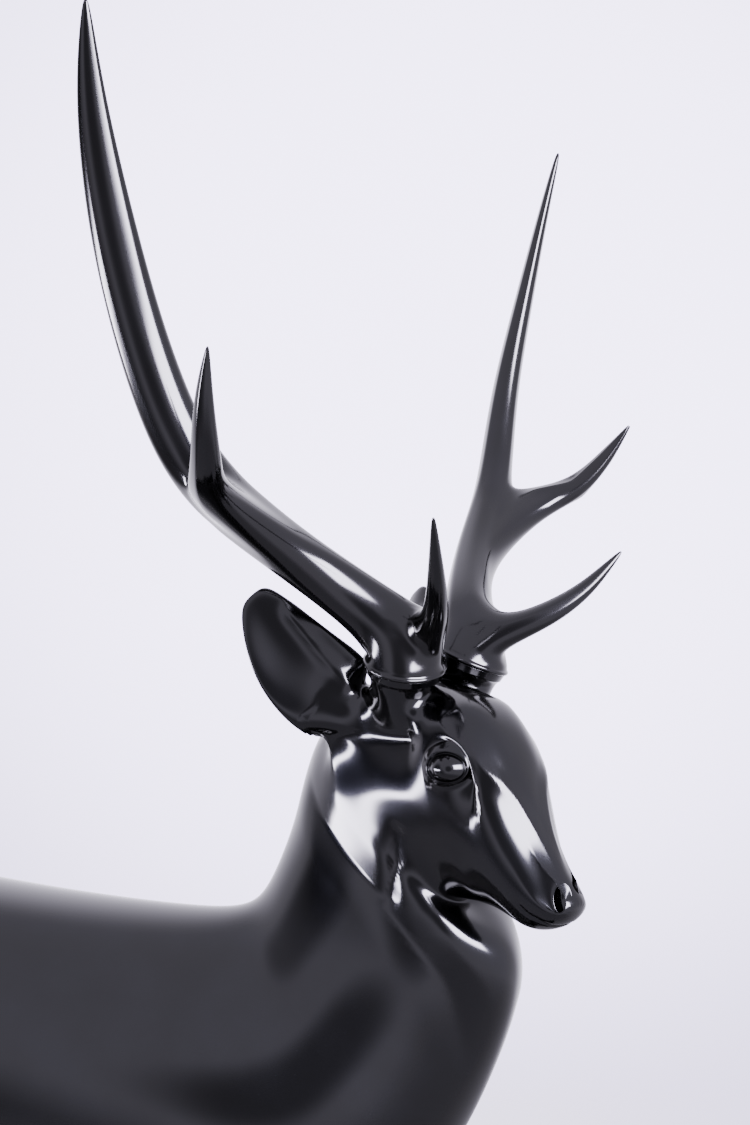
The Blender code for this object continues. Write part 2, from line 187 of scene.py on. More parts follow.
def sharpen(cage, first, second, sharpness):
    """Makes the edge between two points hold a soft ridge when the cage is smoothed."""
    edge = cage.edges.get((first, second))
    if edge:
        edge[cage.edges.layers.float.get("crease_edge")] = sharpness


def each_point(patch):
    """A patch's points: steps along and round the limb, the share a corner keeps, the vertex."""
    for (along, round_it), vert in patch.items():
        yield along, round_it, CORNER if along and round_it else 1.0, vert


def place_patch(patch, ring):
    for along, round_it, corner, vert in each_point(patch):
        reach = ring.along * along + ring.across * round_it
        vert.co = ring.centre + reach * corner * LIMB_SWELL


def grow(cage, patch, rings):
    """Grows a limb from a patch through rings, and gives its last patch."""
    for ring in rings:
        patch = extruded(cage, patch)
        place_patch(patch, ring)
    return patch


def to_metres(cage):
    for vert in cage.verts:
        vert.co = vert.co * UNIT + Vector((0, 0, SOLE_HEIGHT))


print("Cage helpers ready")

# %% [markdown]
# ## The trunk, neck and head
#
# Each station is one section through the animal: where its top and its bottom line run, how wide
# it is, how far down its widest point lies, and how full its upper and lower halves are. The
# first stations are upright slices from the rump to the withers. The next ones fan round the base
# of the neck, and the head's own stations slice it from the nape to the nose. From the withers on,
# the sections turn by degrees until the head looks 31 degrees to the stag's right.

# %% Stations of the trunk and the head
TRUNK = [
    Station(-47.0, 89.0, -46.0, 79.0, 5.0, 0.50, 1.0, 1.0),
    Station(-43.0, 94.0, -42.5, 70.5, 12.0, 0.50, 1.0, 1.0),
    Station(-34.5, 96.6, -33.0, 63.0, 15.2, 0.50, 0.9, 1.0),
    Station(-21.0, 96.0, -20.5, 58.0, 15.2, 0.50, 0.9, 1.0),
    Station(-1.0, 93.9, 0.5, 53.2, 15.8, 0.52, 0.95, 1.0),
    Station(17.0, 93.1, 22.5, 51.6, 16.2, 0.52, 1.1, 1.0),
    Station(23.2, 93.7, 35.5, 53.4, 15.4, 0.54, 1.2, 1.0),
    Station(26.0, 95.4, 44.5, 59.5, 14.0, 0.55, 1.3, 1.0),
    Station(27.9, 99.4, 50.6, 68.0, 12.2, 0.55, 1.2, 1.0),
    Station(29.6, 104.4, 54.8, 77.0, 10.7, 0.55, 1.1, 1.0),
    Station(30.4, 108.6, 58.4, 85.6, 9.5, 0.53, 1.0, 1.0),
    Station(31.4, 112.2, 59.6, 91.8, 8.4, 0.50, 1.0, 1.1),
]
HEAD = [
    Station(-16.4, -7.8, 6.0, -27.8, 7.9, 0.46, 1.0, 1.15),
    Station(-11.4, -4.4, 3.4, -26.6, 7.5, 0.46, 0.9, 1.15),
    Station(-7.2, -2.7, 4.6, -26.1, 7.1, 0.46, 0.9, 1.15),
    Station(-3.0, -2.0, 6.2, -26.0, 6.9, 0.45, 0.8, 1.1),
    Station(1.4, -2.1, 8.0, -26.1, 6.7, 0.40, 0.8, 1.0),
    Station(5.6, -2.9, 9.5, -26.3, 6.4, 0.36, 0.7, 1.0),
    Station(9.1, -5.0, 11.0, -26.7, 5.9, 0.36, 0.7, 0.95),
    Station(11.7, -8.4, 12.4, -27.1, 5.0, 0.42, 0.7, 0.9),
    Station(13.3, -12.6, 13.8, -27.4, 4.2, 0.48, 1.0, 0.85),
    Station(15.2, -17.2, 15.4, -27.3, 3.5, 0.50, 1.4, 0.85),
    Station(17.7, -20.9, 17.0, -26.8, 2.9, 0.50, 1.2, 0.9),
    Station(19.3, -22.8, 18.3, -26.1, 2.3, 0.50, 1.0, 1.0),
    Station(19.9, -23.9, 18.9, -25.5, 1.3, 0.50, 1.0, 1.0),
]

# The head's turn starts at the first of these rings and is whole at the second
FIRST_TURNED = 7
FULLY_TURNED = len(TRUNK) + 1

# The edge between forehead and cheek runs over these rings, at this step on both sides
BROW_EDGE = (16, 22)
BROW_STEP = 2
BROW_SHARPNESS = 0.45


def station_points(station, offset, share):
    """The points round one section, from its top, down the left side and up the right."""
    top = Vector((station.top_x + offset[0], 0, station.top_z + offset[1]))
    low = Vector((station.low_x + offset[0], 0, station.low_z + offset[1]))
    bias = math.log(station.widest) / math.log(0.5)
    points = []
    for step in range(TRUNK_POINTS):
        angle = 2 * math.pi * step / TRUNK_POINTS
        down = ((1 - math.cos(angle)) / 2) ** bias
        fullness = station.upper if math.cos(angle) > 0 else station.lower
        reach = abs(math.sin(angle)) ** fullness * math.copysign(1, math.sin(angle))
        point = top.lerp(low, down)
        point.y = station.half_width * reach * TRUNK_SWELL
        points.append(turned(point, share))
    return points


# A few points leave their sections: forward, outward and up, by ring and step, on both sides.
# The first three let the cheek run into the neck, so that only the throat keeps a fold. The next
# two fill the gap between an ear and its antler, and the last two bend the edge between forehead
# and cheek over the eye.
NUDGES = {
    (12, 6): (1.2, 0.0, -2.0),
    (13, 6): (2.2, 0.0, -2.0),
    (14, 6): (0.8, 0.0, -0.8),
    (14, 2): (0.6, 1.6, 2.4),
    (14, 3): (0.2, 0.8, 0.8),
    (17, 2): (0.0, 0.0, -0.8),
    (18, 2): (0.0, 0.0, -1.2),
}


def nudged(points, number, share):
    """The section's points after its nudges, which turn with the head."""
    turn = Matrix.Rotation(HEAD_TURN * share, 3, "Z")
    for (ring, step), (forward, outward, up) in NUDGES.items():
        if ring == number:
            points[step] = points[step] + turn @ Vector((forward, outward, up))
            points[-step] = points[-step] + turn @ Vector((forward, -outward, up))
    return points


def add_ring(cage, points):
    ring = bmesh.ops.create_circle(cage, segments=len(points))["verts"]
    for vert, point in zip(ring, points):
        vert.co = point
    return ring


def ring_edges(ring):
    members = set(ring)
    found = dict.fromkeys(edge for vert in ring for edge in vert.link_edges)
    return [edge for edge in found if set(edge.verts) <= members]


def trunk_cage(cage):
    """Rump, back, neck and head as one row of bridged rings, closed at both ends."""
    stations = [(station, (0, 0)) for station in TRUNK]
    stations += [(station, (BROW_X, BROW_Z)) for station in HEAD]
    rings = []
    for number, (station, offset) in enumerate(stations):
        share = smooth_share(number, FIRST_TURNED, FULLY_TURNED)
        points = nudged(station_points(station, offset, share), number, share)
        rings.append(add_ring(cage, points))
    for first, second in zip(rings, rings[1:]):
        edges = ring_edges(first) + ring_edges(second)
        bmesh.ops.bridge_loops(cage, edges=edges)
    for ring in (rings[0], rings[-1]):
        bmesh.ops.contextual_create(cage, geom=ring_edges(ring))
    for first, second in zip(rings[BROW_EDGE[0]:BROW_EDGE[1]], rings[BROW_EDGE[0] + 1:]):
        for step in (BROW_STEP, -BROW_STEP):
            sharpen(cage, first[step], second[step], BROW_SHARPNESS)
    return rings


def patch_round(rings, root, side=1):
    """The nine points of the two-by-two patch that a limb grows from."""
    number, step = root
    patch = {}
    for along in (-1, 0, 1):
        for round_it in (-1, 0, 1):
            place = (side * (step + round_it)) % TRUNK_POINTS
            patch[along, round_it] = rings[number + along][place]
    return patch


print("Trunk and head:", len(TRUNK) + len(HEAD), "stations of", TRUNK_POINTS, "points")

# %% [markdown]
# ## Legs and tail
#
# The legs are long and plain, as on the cast: a full thigh and forearm, a slight knee or hock,
# and two toes that meet the base on flat soles. The tail hangs clear of the rump.

# %% Legs and tail
FORELEG_ROOT = (6, 6)
HINDLEG_ROOT = (2, 6)
TAIL_ROOT = (1, 0)

# A leg's rings: x, y and z of the middle, half its length along X, half its width
FORELEG = [
    (30.5, 10.0, 55.0, 7.4, 4.8),
    (29.0, 9.8, 44.5, 4.7, 3.5),
    (29.8, 9.6, 29.5, 3.2, 2.8),
    (29.6, 9.6, 22.0, 2.2, 2.0),
    (29.2, 9.6, 11.0, 1.9, 1.7),
    (29.4, 9.6, 7.4, 2.5, 2.2),
    (30.6, 9.6, 4.6, 2.1, 2.2),
]
HINDLEG = [
    (-30.5, 10.4, 62.5, 10.0, 5.8),
    (-32.0, 10.3, 50.5, 6.6, 4.3),
    (-38.6, 10.2, 38.0, 3.6, 2.8),
    (-41.8, 10.2, 29.5, 3.4, 2.4),
    (-38.8, 10.2, 12.5, 2.1, 1.8),
    (-38.0, 10.2, 8.0, 2.6, 2.2),
    (-36.8, 10.2, 4.8, 2.1, 2.2),
]

# A toe's rings: forward of the pastern, sideways of it, height, half length, half width
TOE = [
    (1.4, 1.45, 3.0, 2.5, 1.30),
    (2.0, 1.70, 0.0, 3.2, 1.45),
]
TOE_CORNER = 0.8

# The tail's rings, from the rump to the tip
TAIL = [
    Ring(Vector((-47.6, 0, 91.0)), Vector((0, 3.2, 0)), Vector((-1.4, 0, 1.8))),
    Ring(Vector((-49.4, 0, 85.5)), Vector((0, 3.0, 0)), Vector((-1.6, 0, 0.4))),
    Ring(Vector((-49.6, 0, 78.0)), Vector((0, 1.5, 0)), Vector((-0.9, 0, 0.0))),
]


def leg_rings(table, side):
    for x, y, z, half_length, half_width in table:
        centre = Vector((x, y * side, z))
        yield Ring(centre, Vector((0, -half_width * side, 0)), Vector((half_length, 0, 0)))


def grow_leg(cage, rings, root, table, side):
    """A leg with its knee or hock and two toes standing on z = 0."""
    patch = patch_round(rings, root, side)
    patch = grow(cage, patch, list(leg_rings(table, side)))
    pastern_x, pastern_y = table[-1][0], table[-1][1] * side
    for toe_side in (-1, 1):
        half = {key: vert for key, vert in patch.items() if key[1] * toe_side >= 0}
        for forward, sideways, height, half_length, half_width in TOE:
            half = extruded(cage, half)
            for (along, round_it), vert in half.items():
                outward = abs(round_it) * 2 - 1
                corner = TOE_CORNER if along and round_it else 1.0
                vert.co = Vector((
                    pastern_x + forward + along * half_length * corner,
                    pastern_y - side * toe_side * (sideways + outward * half_width),
                    height,
                ))
        crease(cage, half.values())


print("Legs:", len(FORELEG), "rings each, and two toes")

# %% [markdown]
# ## Ears
#
# An ear is a leaf: narrow at its root, widest near a third of its length, and hollowed on the
# face that looks forward and outward. Its front edge runs straight into the antler's seat.

# %% Ears
EAR_ROOT = (13, 2)

# An ear's rings: share of its length, half width, half thickness, depth of its hollow
EAR = [
    (0.09, 5.6, 1.8, 0.3),
    (0.24, 5.6, 1.2, 0.9),
    (0.42, 5.2, 0.8, 1.35),
    (0.60, 4.5, 0.62, 1.25),
    (0.78, 3.4, 0.5, 0.9),
    (0.96, 1.9, 0.40, 0.0),
]

# Where an ear starts and ends, and the way across it at either end, as on the right side. The
# left ear, on side 1, is turned a little more to the front than the right one.
EAR_START = (-6.6, -6.4, -5.8)
EAR_ACROSS_ROOT = (0.34, 0.35, 0.87)
EAR_TIP = {-1: (-17.0, -13.1, 7.8), 1: (-16.5, -13.6, 7.8)}
EAR_ACROSS_TIP = {-1: (0.62, 0.64, 0.46), 1: (0.88, 0.10, 0.46)}
EAR_TURNED_BY = 0.6
EAR_BOW = 1.3
EAR_CUP_MIDDLE = 0.5


def grow_ear(cage, rings, side):
    """A leaf-shaped ear, hollowed on the face that looks forward and outward."""
    start = mirror_point(EAR_START, -side)
    tip = mirror_point(EAR_TIP[side], -side)
    reach = tip - start
    patch = patch_round(rings, EAR_ROOT, side)
    for share, half_width, half_thickness, hollow in EAR:
        patch = extruded(cage, patch)
        turn = smooth_share(share, 0, EAR_TURNED_BY)
        across = mirror_point(Vector(EAR_ACROSS_ROOT).lerp(Vector(EAR_ACROSS_TIP[side]), turn), -side)
        across = (across - across.project(reach)).normalized()
        outward = reach.cross(across).normalized() * side
        centre = start + reach * share - across * EAR_BOW * math.sin(math.pi * share)
        for along, round_it, corner, vert in each_point(patch):
            width = -round_it * corner * half_width * LIMB_SWELL
            depth = along * corner * half_thickness * LIMB_SWELL
            cup = hollow * (abs(round_it) * corner - EAR_CUP_MIDDLE)
            vert.co = head_point(centre + across * width + outward * (depth + cup))


print("Ears:", len(EAR), "rings each")

# %% [markdown]
# ## Antler seats
#
# Each antler stands on a short stump that ends in a flat face, a little narrower than the burr
# that sits on it.

# %% Antler seats
SEAT_ROOT = (15, 2)

# The seat's rings: distance from the seat along its axis, and radius
SEAT = [
    (-2.2, 4.05),
    (-1.1, 4.12),
    (-0.30, 4.28),
    (0.0, 4.36),
]

# The middle of the right seat and the way it faces
SEAT_CENTRE = (0.0, -5.2, -0.4)
SEAT_AXIS = (0.32, -0.20, 0.92)


def seat_frame(side):
    """The centre of an antler's seat, its axis, and two directions across it."""
    centre = mirror_point(SEAT_CENTRE, -side)
    axis = mirror_point(SEAT_AXIS, -side).normalized()
    forward = (Vector((1, 0, 0)) - axis * axis.x).normalized()
    return centre, axis, forward, axis.cross(forward)


def grow_seat(cage, rings, side):
    """The stump that an antler stands on, with its flat top."""
    centre, axis, forward, sideways = seat_frame(side)
    patch = patch_round(rings, SEAT_ROOT, side)
    for distance, radius in SEAT:
        patch = extruded(cage, patch)
        for along, round_it, corner, vert in each_point(patch):
            reach = forward * along + sideways * round_it * side
            point = centre + axis * distance + reach * corner * radius * LIMB_SWELL
            vert.co = head_point(point)
    crease(cage, patch.values())


print("Seats:", len(SEAT), "rings each")

# %% [markdown]
# ## Eyes and nostrils
#
# An eye is cast in one with the head. Working inwards, the skin rises to a lid, folds over a thin
# bright rim, drops into a groove and swells again as the ball. A nostril has a raised rim and a
# deep hollow. Both are the same kind of nested rings, so one function makes them from a table.

# %% Eyes and nostrils
EYE_ROOT = (17, 4)
NOSTRIL_ROOT = (22, 3)

# An eye's rings: half length, half height, how far it stands out from the cheek, how far it is
# raised. The upper lid is a broad fold and the lower lid a thin rim, so the outer rings are raised.
# Its middle and the way it faces are those of the right eye, as with the nostril.
EYE = [
    (3.40, 2.75, 0.05, 0.20),
    (2.80, 2.25, 0.38, 0.36),
    (2.55, 1.98, 0.62, 0.24),
    (2.34, 1.72, 0.84, 0.06),
    (2.22, 1.62, 0.70, 0.00),
    (2.08, 1.52, 0.42, 0.00),
    (1.90, 1.38, 0.66, 0.00),
    (1.35, 0.98, 1.12, 0.00),
    (0.65, 0.48, 1.36, 0.00),
]
EYE_CENTRE = (7.2, -6.1, -10.7)
EYE_OUTWARD = (0.36, -0.92, 0.12)
EYE_BALL = 1.44
EYE_BEND = 0.09

# A nostril's rings in the same way, sunk into the nose
NOSTRIL = [
    (1.15, 1.80, -0.50, 0.0),
    (0.95, 1.56, -0.38, 0.0),
    (0.84, 1.42, -0.46, 0.0),
    (0.74, 1.28, -0.80, 0.0),
    (0.48, 0.86, -1.30, 0.2),
]
NOSTRIL_CENTRE = (18.9, -1.7, -23.1)
NOSTRIL_OUTWARD = (0.66, -0.72, 0.20)
NOSTRIL_FLOOR = -1.6
NOSTRIL_BEND = 0.20


def set_in(cage, rings, root, side, table, centre, outward, middle, bend):
    """Insets a patch into nested rings of its own, bent round the head, for an eye or a nostril."""
    centre = mirror_point(centre, -side)
    outward = mirror_point(outward, -side).normalized()
    upward = (Vector((0, 0, 1)) - outward * outward.z).normalized()
    forward = upward.cross(outward) * -side
    patch = patch_round(rings, root, side)
    for half_length, half_height, stand, raised in table:
        patch = extruded(cage, patch)
        for along, round_it, corner, vert in each_point(patch):
            reach = forward * along * half_length - upward * round_it * half_height
            rise = stand - bend * (along * corner * half_length) ** 2
            middle_point = centre + upward * raised + outward * rise
            vert.co = head_point(middle_point + reach * corner * LIMB_SWELL)
    patch[0, 0].co = head_point(centre + outward * middle)


print("Eye:", len(EYE), "rings; nostril:", len(NOSTRIL), "rings")

# %% [markdown]
# ## From cage to skin
#
# A cage becomes a mesh object, Subdivision Surface smooths it, and the smoothed mesh is kept as
# the piece. Keeping the result, and not the modifier, lets later cells model finer forms on it.

# %% Smoothing a cage
def skin_of(cage, name, levels):
    """A mesh of the cage after Catmull-Clark smoothing."""
    rough = bpy.data.meshes.new(name + "_cage")
    cage.to_mesh(rough)
    cage.free()
    carrier = bpy.data.objects.new(name + "_cage", rough)
    SCENE.collection.objects.link(carrier)
    smooth = carrier.modifiers.new("Smooth form", "SUBSURF")
    smooth.levels = levels
    smooth.render_levels = levels
    bpy.context.view_layer.update()
    skin = bpy.data.meshes.new_from_object(carrier.evaluated_get(bpy.context.evaluated_depsgraph_get()))
    bpy.data.objects.remove(carrier)
    bpy.data.meshes.remove(rough)
    skin.name = name
    return skin


def as_piece(mesh, name, material, node):
    """A finished piece that rides on the root body and stands for a CAD node."""
    mesh.materials.clear()
    mesh.materials.append(material)
    mesh.shade_smooth()
    piece = bpy.data.objects.new(name, mesh)
    SCENE.collection.objects.link(piece)
    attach(piece, "root")
    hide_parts(node)
    print(name, "has", sum(len(face.vertices) - 2 for face in mesh.polygons), "triangles")


# %% [markdown]
# ## Modelling on the skin
#
# Two of a sculptor's tools finish the skin. The first is a wet cloth: the skin round a joint is
# relaxed until the lumps of the coarse cage are gone. The second is a modelling tool drawn along a
# line: it raises a pinched ridge or cuts a groove with soft shoulders. Each line is a handful of
# points, laid on the skin and drawn on both sides of the animal. The line over the temple is so
# broad that it leaves no groove but a shallow hollow, which spreads the bright patch on the neck.

# %% Softening
# Where the skin is relaxed, in the head's table: middle, radius, passes; y is outward. The spots
# with the most passes fill the pit between ear and seat, and the dent in front of the seat.
SOFT_SPOTS = [
    ((-0.8, 5.4, -4.0), 5.6, 22),
    ((3.5, 2.6, -3.0), 4.4, 30),
    ((-4.6, 7.2, -3.4), 3.8, 150),
    ((2.9, 4.5, -3.9), 3.9, 110),
    ((-5.5, 7.0, -4.2), 5.8, 30),
    (mirror_point(EYE_CENTRE, -1), 6.2, 22),
    ((2.0, 6.0, -23.5), 6.0, 30),
    ((16.8, 2.4, -23.0), 3.4, 8),
]

# What keeps its crisp edges, in the same table: middle, radius
CRISP_SPOTS = [
    (mirror_point(EYE_CENTRE, -1), 2.8),
    (mirror_point(NOSTRIL_CENTRE, -1), 1.7),
]
SEAT_CRISP_BELOW = -0.9
SEAT_CRISP_RADIUS = 4.9

# How strong a pass is, and how much of its radius a spot has lost by its last pass
SOFT_STRENGTH = 0.7
SOFT_CLOSING = 0.5


def on_table(point):
    """A point of the skin in table units."""
    return (point - Vector((0, 0, SOLE_HEIGHT))) / UNIT


def off_table(point):
    return Vector(point) * UNIT + Vector((0, 0, SOLE_HEIGHT))


def is_crisp(place, side):
    """Whether a point belongs to an eye, a nostril or the end of an antler seat."""
    for middle, radius in CRISP_SPOTS:
        if (place - head_point(mirror_point(middle, side))).length < radius:
            return True
    centre, axis, _, _ = seat_frame(side)
    seat_centre = head_point(centre)
    seat_axis = head_point(centre + axis) - seat_centre
    reach = place - seat_centre
    return reach.length < SEAT_CRISP_RADIUS and reach.dot(seat_axis) > SEAT_CRISP_BELOW


def relax(skin, verts, strength):
    """One smoothing pass over some of a skin's points."""
    bmesh.ops.smooth_vert(skin, verts=verts, factor=strength, use_axis_x=True,
                          use_axis_y=True, use_axis_z=True)


def soften(mesh):
    """Relaxes the skin round each joint, most at the middle of the spot."""
    skin = bmesh.new()
    skin.from_mesh(mesh)
    for middle, radius, passes in SOFT_SPOTS:
        spots = [head_point(mirror_point(middle, side)) for side in (1, -1)]
        near = []
        for vert in skin.verts:
            place = on_table(vert.co)
            distance = min((place - spot).length for spot in spots)
            if distance < radius and not is_crisp(place, 1) and not is_crisp(place, -1):
                near.append((distance, vert))
        for number in range(passes):
            reach = radius * (1 - SOFT_CLOSING * number / passes)
            relax(skin, [vert for distance, vert in near if distance < reach], SOFT_STRENGTH)
    skin.to_mesh(mesh)
    skin.free()


print("Soft spots:", len(SOFT_SPOTS), "on each side")

# %% Drawn lines
# A line: its points, its reach to each side, and how far it lifts or cuts the skin. The head's
# lines are in the head's table. The neck's lines are in the straight figure's table, and the last
# number of each point is its share of the head's turn. y is outward.
Line = namedtuple("Line", "points reach height")
HEAD_LINES = {
    "brow edge": Line([
        (4.3, 4.7, -4.1), (6.5, 5.8, -6.8), (9.4, 5.3, -8.5), (10.9, 4.8, -10.5),
        (12.2, 3.8, -11.9), (13.4, 2.4, -13.5), (15.5, 1.1, -17.7), (17.7, 0.7, -21.0),
    ], 1.6, 0.22),
    "tear duct": Line([(9.7, 5.8, -12.2), (9.9, 5.6, -13.4), (10.8, 5.2, -15.2)], 0.9, -0.20),
    "mouth": Line([
        (14.2, 3.5, -23.8), (15.2, 2.9, -24.9), (16.2, 2.6, -25.4), (17.2, 1.9, -25.9),
        (18.2, 0.6, -26.1), (18.4, 0.0, -26.1),
    ], 0.45, -0.16),
    "behind the jaw": Line([
        (0.3, 6.8, -16.9), (-0.1, 6.5, -20.4), (-0.4, 6.9, -23.6), (-0.8, 7.2, -26.6),
    ], 1.8, -0.34),
    "temple": Line([
        (-10.4, 8.3, -8.6), (-8.1, 8.1, -8.6), (-4.5, 7.6, -8.4), (-1.2, 7.2, -8.3), (4.2, 6.5, -8.3),
    ], 6.4, -1.3),
    "ear fold": Line([
        (-14.0, 11.2, 6.4), (-11.4, 9.8, 3.0), (-8.4, 8.6, -0.5), (-5.2, 8.2, -2.6), (-1.9, 8.0, -4.0),
    ], 1.7, 0.34),
}
NECK_LINES = {
    "neck muscle": Line([
        (35.0, 5.6, 110.0, 1.0), (37.5, 7.2, 106.6, 1.0), (42.8, 8.1, 102.3, 0.98),
        (46.4, 7.9, 99.5, 0.95), (49.1, 7.6, 96.2, 0.87), (52.2, 7.0, 91.4, 0.72),
        (53.4, 6.4, 89.5, 0.66), (54.1, 5.8, 86.5, 0.58), (54.0, 5.2, 82.5, 0.46),
        (53.1, 4.4, 77.4, 0.33),
    ], 3.4, -0.34),
    "throat edge": Line([
        (53.5, 4.8, 97.5, 0.91), (54.2, 5.3, 95.3, 0.85), (55.4, 4.9, 93.0, 0.77),
        (56.9, 3.7, 88.9, 0.65), (56.4, 3.0, 84.5, 0.52),
    ], 2.6, 0.14),
}

# Steps between two points of a line, the share of it that fades at each end, and how pinched it is
LINE_STEPS = 6
LINE_FADE = 0.14
LINE_PINCH = 1.7


def rounded_line(points, steps):
    """A Catmull-Rom curve through the points."""
    ends = [points[0] * 2 - points[1]] + points + [points[-1] * 2 - points[-2]]
    line = []
    for a, b, c, d in zip(ends, ends[1:], ends[2:], ends[3:]):
        for step in range(steps):
            t = step / steps
            line.append(0.5 * (b * 2 + (c - a) * t + (a * 2 - b * 5 + c * 4 - d) * t ** 2
                               + (b * 3 - a - c * 3 + d) * t ** 3))
    return line + [points[-1]]


def drawn_lines(side):
    """Every line of one side, as points in metres."""
    for line in HEAD_LINES.values():
        yield [off_table(head_point(mirror_point(point, side))) for point in line.points], line
    for line in NECK_LINES.values():
        places = [turned(mirror_point(point[:3], side), point[3]) for point in line.points]
        yield [off_table(place) for place in places], line


def draw_on(mesh, lines):
    """Lifts or cuts the skin along each line, by the distance of each point from it."""
    count = len(mesh.vertices)
    places = numpy.empty(count * 3)
    normals = numpy.empty(count * 3)
    mesh.vertices.foreach_get("co", places)
    mesh.vertices.foreach_get("normal", normals)
    places = places.reshape(count, 3)
    normals = normals.reshape(count, 3)
    faces = [tuple(face.vertices) for face in mesh.polygons]
    surface = BVHTree.FromPolygons([tuple(place) for place in places], faces)
    lift = numpy.zeros(count)
    for points, line in lines:
        path = [surface.find_nearest(point)[0] for point in rounded_line(points, LINE_STEPS)]
        path = numpy.array(path)
        reach = line.reach * UNIT
        near = numpy.where(
            (places > path.min(axis=0) - reach).all(axis=1)
            & (places < path.max(axis=0) + reach).all(axis=1))[0]
        best = numpy.full(len(near), reach)
        along = numpy.zeros(len(near))
        for number, (start, end) in enumerate(zip(path, path[1:])):
            way = end - start
            share = ((places[near] - start) @ way) / max(way @ way, 1e-12)
            share = share.clip(0, 1)
            distance = numpy.linalg.norm(places[near] - start - share[:, None] * way, axis=1)
            closer = distance < best
            best[closer] = distance[closer]
            along[closer] = (number + share[closer]) / (len(path) - 1)
        fade = (numpy.minimum(along, 1 - along) / LINE_FADE).clip(0, 1)
        fade = fade * fade * (3 - 2 * fade)
        lift[near] += line.height * UNIT * fade * (1 - best / reach) ** LINE_PINCH
    mesh.vertices.foreach_set("co", (places + normals * lift[:, None]).ravel())
    mesh.update()
    print("Drawn on", int((lift != 0).sum()), "points of", mesh.name)


print("Lines:", len(HEAD_LINES) + len(NECK_LINES), "on each side")

# %% [markdown]
# ## Bronze
#
# The metal is dark because of its patina and bright because of its polish. One shared group gives
# the faint clouds, the fine pinholes and the slow waviness that a hand-chased cast keeps. Each
# material then sets its own colour and gloss on its own shader. A node graph repeats the same few
# moves, so five short helpers come first.

# %% Node helpers
def new_group(name, inputs, outputs):
    """A shader node group with these sockets, and the nodes at its two ends."""
    group = bpy.data.node_groups.new(name, "ShaderNodeTree")
    for direction, sockets in (("INPUT", inputs), ("OUTPUT", outputs)):
        for title, kind in sockets.items():
            group.interface.new_socket(title, in_out=direction, socket_type="NodeSocket" + kind)
    return group, group.nodes.new("NodeGroupInput"), group.nodes.new("NodeGroupOutput")


def feed(tree, node, inputs):
    """Gives each input of a node its value, or links it to another node's socket."""
    for key, value in inputs.items():
        if isinstance(value, bpy.types.NodeSocket):
            tree.links.new(value, node.inputs[key])
        else:
            node.inputs[key].default_value = value
    return node


def math_node(tree, operation, *values):
    node = tree.nodes.new("ShaderNodeMath")
    node.operation = operation
    return feed(tree, node, dict(enumerate(values))).outputs["Value"]


def vector_node(tree, operation, *values):
    node = tree.nodes.new("ShaderNodeVectorMath")
    node.operation = operation
    return feed(tree, node, dict(enumerate(values))).outputs["Value"]


def range_node(tree, value, low, high, curve="SMOOTHSTEP", bottom=0.0, top=1.0):
    """Turns a value's range from low to high into the range from bottom to top."""
    node = tree.nodes.new("ShaderNodeMapRange")
    node.interpolation_type = curve
    inputs = {"Value": value, "From Min": low, "From Max": high, "To Min": bottom, "To Max": top}
    return feed(tree, node, inputs).outputs["Result"]


print("Node helpers ready")

# %% Patina group
# Noise in the patina: its scale, its detail, and the values that it runs between
CLOUDS = (9.0, 6.0, 0.38, 0.66)
PINHOLES = (420.0, 2.0, 0.70, 0.78)
WAVES = (14.0, 2.0, 0.0, 1.0)
PINHOLE_ROUGHNESS = 0.3
WAVE_DEPTH = 0.002


def patina_group():
    """A node group: clouds and pinholes in the patina, and slow waves in the cast."""
    group, inside, outside = new_group(
        "Chased patina",
        {"Dark": "Color", "Light": "Color", "Gloss": "Float", "Haze": "Float", "Relief": "Float"},
        {"Color": "Color", "Roughness": "Float", "Normal": "Vector"})
    given = inside.outputs
    place = group.nodes.new("ShaderNodeTexCoord").outputs["Object"]

    def cloud(scale, detail, low, high):
        noise = group.nodes.new("ShaderNodeTexNoise")
        feed(group, noise, {"Vector": place, "Scale": scale, "Detail": detail})
        return range_node(group, noise.outputs["Fac"], low, high, "LINEAR")

    clouds = cloud(*CLOUDS)
    tint = group.nodes.new("ShaderNodeMix")
    tint.data_type = "RGBA"
    feed(group, tint, {"Factor": clouds, "A": given["Dark"], "B": given["Light"]})
    haze = math_node(group, "MULTIPLY_ADD", clouds, given["Haze"], given["Gloss"])
    rough = math_node(group, "MULTIPLY_ADD", cloud(*PINHOLES), PINHOLE_ROUGHNESS, haze)
    bump = group.nodes.new("ShaderNodeBump")
    feed(group, bump, {"Strength": given["Relief"], "Distance": WAVE_DEPTH, "Height": cloud(*WAVES)})
    ends = {"Color": tint.outputs["Result"], "Roughness": rough, "Normal": bump.outputs["Normal"]}
    feed(group, outside, ends)
    return group


PATINA = patina_group()
print("Patina group has", len(PATINA.nodes), "nodes")

# %% Bronze materials
COAT_WEIGHT = 1.0
COAT_ROUGHNESS = 0.12
EDGE_TINT = (0.04, 0.04, 0.05)


def bronze(name, dark, light, gloss, haze, relief):
    """Dark metal under a thin clear wax."""
    material = bpy.data.materials.new(name)
    material.use_nodes = True
    tree = material.node_tree
    patina = tree.nodes.new("ShaderNodeGroup")
    patina.node_tree = PATINA
    values = {"Dark": (*dark, 1), "Light": (*light, 1), "Gloss": gloss, "Haze": haze, "Relief": relief}
    feed(tree, patina, values)
    feed(tree, tree.nodes["Principled BSDF"], {
        "Base Color": patina.outputs["Color"],
        "Roughness": patina.outputs["Roughness"],
        "Normal": patina.outputs["Normal"],
        "Metallic": 1.0,
        "Specular Tint": (*EDGE_TINT, 1),
        "Coat Weight": COAT_WEIGHT,
        "Coat Roughness": COAT_ROUGHNESS,
    })
    return material


